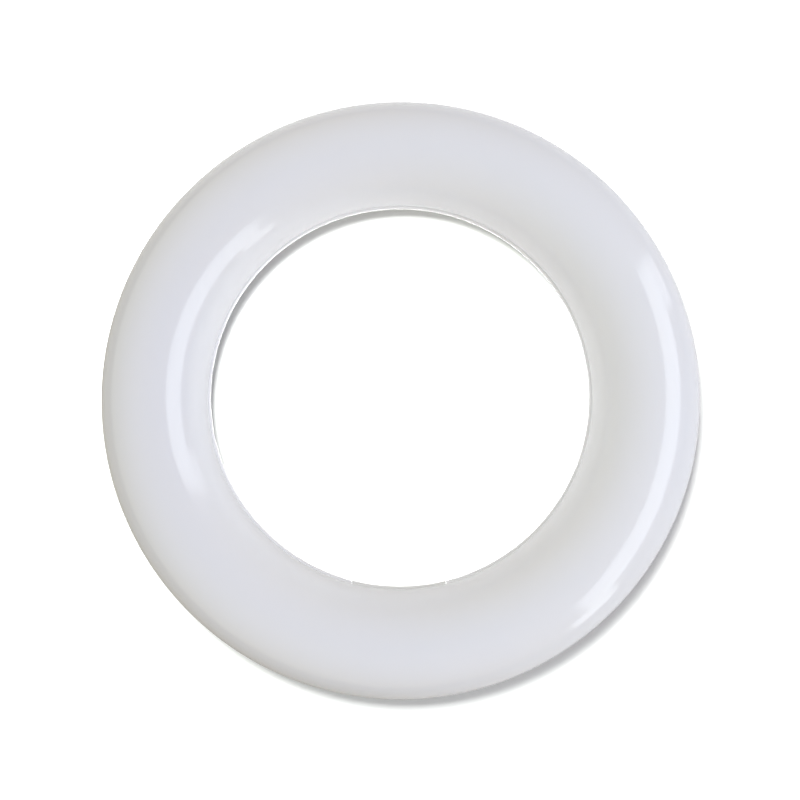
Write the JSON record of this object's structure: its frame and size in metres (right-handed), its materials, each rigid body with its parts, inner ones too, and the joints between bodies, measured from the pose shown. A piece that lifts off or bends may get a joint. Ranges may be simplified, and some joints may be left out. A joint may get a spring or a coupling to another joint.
{
  "type": "circular led tube",
  "caption": "Ring-shaped LED lamp with a round opal tube section, a white back shell and a recessed pin cap at the back.",
  "frame": {"origin": "centre of the ring, on the plane that its back rests on", "axes": "+Z along the ring's axis towards the opal front, -Y towards the lamp cap"},
  "size_m": [0.165, 0.165, 0.0282],
  "materials": {
    "opal_cover": "glossy opal moulding",
    "white_shell": "glossy white moulding",
    "cap_white": "satin white moulding",
    "pin_brass": "plain turned brass",
    "board_white": "white coated board",
    "led_frame": "moulded package",
    "phosphor": "cast phosphor",
    "link_metal": "tinned strip",
    "screw_steel": "zinc plated",
    "driver_green": "coated glass fibre board",
    "black_package": "moulded package",
    "capacitor_sleeve": "shrunk sleeve",
    "film_box": "moulded box",
    "ferrite": "pressed ferrite",
    "copper_wire": "enamelled copper wire",
    "resistor_body": "lacquered body",
    "insulation_film": "thin film",
    "lead_red": "plain sleeve",
    "lead_black": "plain sleeve",
    "lead_white": "plain sleeve"
  },
  "bodies": {
    "root": {"diffuser_cover": "opal_cover", "back_shell": "white_shell", "lamp_cap": "cap_white", "cap_pin_1": "pin_brass", "cap_pin_2": "pin_brass", "cap_pin_3": "pin_brass", "cap_pin_4": "pin_brass", "led_board_1": "board_white", "led_board_2": "board_white", "led_board_3": "board_white", "led_bodies_1": "led_frame", "led_bodies_2": "led_frame", "led_bodies_3": "led_frame", "led_phosphor_1": "phosphor", "led_phosphor_2": "phosphor", "led_phosphor_3": "phosphor", "board_links": "link_metal", "board_screws": "screw_steel", "driver_board": "driver_green", "driver_screws": "screw_steel", "bridge_rectifier": "black_package", "driver_chip": "black_package", "input_capacitor": "capacitor_sleeve", "output_capacitor": "capacitor_sleeve", "film_capacitor": "film_box", "choke_core": "ferrite", "choke_winding": "copper_wire", "fuse_resistor": "resistor_body", "chip_resistors": "black_package", "insulation_sheet": "insulation_film", "lead_live": "lead_red", "lead_neutral": "lead_black", "lead_positive": "lead_white", "lead_negative": "lead_black"}
  },
  "joints": []
}
